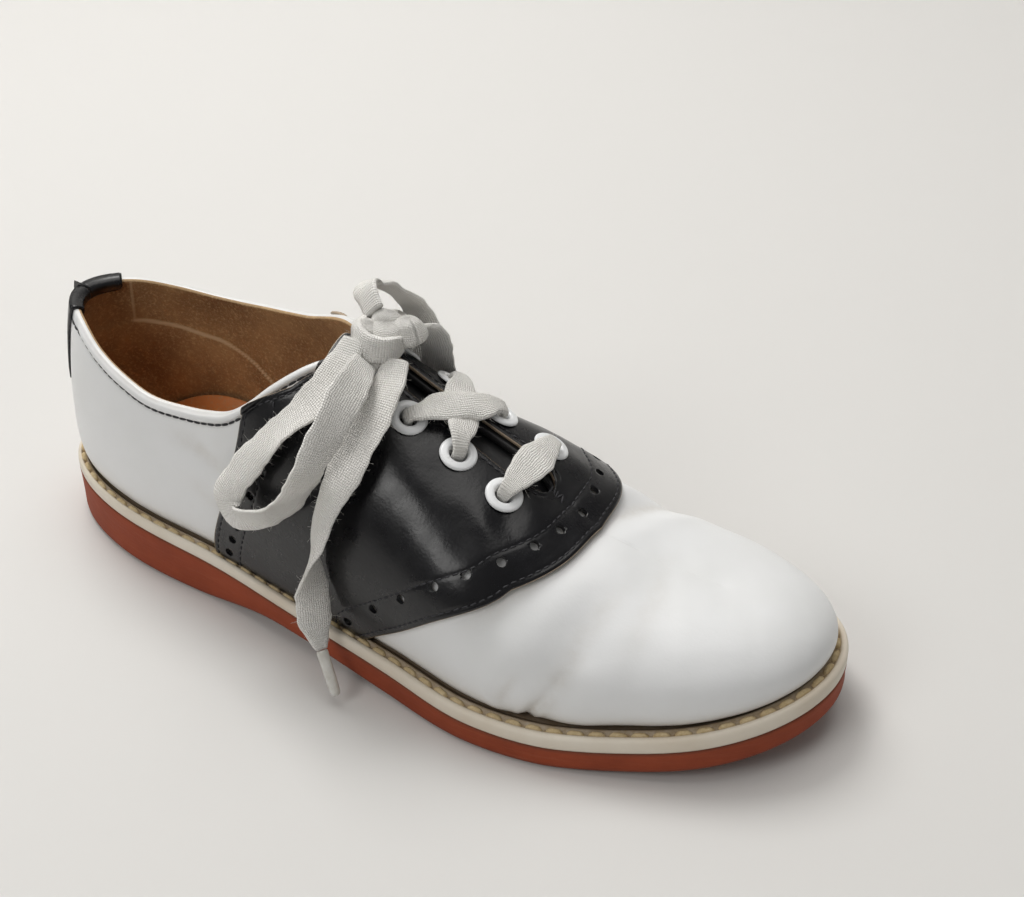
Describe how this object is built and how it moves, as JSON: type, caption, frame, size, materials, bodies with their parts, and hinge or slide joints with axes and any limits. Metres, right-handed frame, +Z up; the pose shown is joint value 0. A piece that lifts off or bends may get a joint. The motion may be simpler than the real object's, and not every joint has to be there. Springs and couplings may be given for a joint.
{
  "type": "saddle shoe",
  "caption": "Right-foot lace-up saddle shoe: white leather upper, black perforated saddle, cream welt and brick-red rubber sole, laces tied in a bow.",
  "frame": {"origin": "middle of the bounding box, on the floor plane under the sole", "axes": "+X from heel to toe, +Y to the shoe's inner (medial) side, +Z up; the shoe stands on its sole"},
  "size_m": [0.262, 0.1007, 0.1054],
  "materials": {
    "rubber_sole": "matte brick-red rubber with a fine grain",
    "cream_welt": "satin cream welting, soiled along its stitch groove",
    "tan_insole": "worn tan leather",
    "white_leather": "smooth white leather, satin, softly creased at the ball",
    "black_leather": "smooth black leather, glossy",
    "black_tongue": "black leather with a pale lining",
    "white_enamel": "white enamelled eyelet",
    "white_cotton": "flat woven white cotton",
    "clear_tip": "glossy off-white plastic"
  },
  "bodies": {
    "root": {"outsole": "rubber_sole", "welt": "cream_welt", "insole": "tan_insole", "upper": "white_leather", "saddle": "black_leather", "tongue": "black_tongue", "heel_tab": "black_leather", "eyelet_outer_1": "white_enamel", "eyelet_outer_2": "white_enamel", "eyelet_outer_3": "white_enamel", "eyelet_outer_4": "white_enamel", "eyelet_inner_1": "white_enamel", "eyelet_inner_2": "white_enamel", "eyelet_inner_3": "white_enamel", "eyelet_inner_4": "white_enamel", "lace_bar": "white_cotton", "lace_cross": "white_cotton", "lace_knot": "white_cotton", "lace_loop_outer": "white_cotton", "lace_loop_inner": "white_cotton", "lace_end_outer": "white_cotton", "lace_end_inner": "white_cotton", "aglet_outer": "clear_tip", "aglet_inner": "clear_tip"}
  },
  "joints": []
}
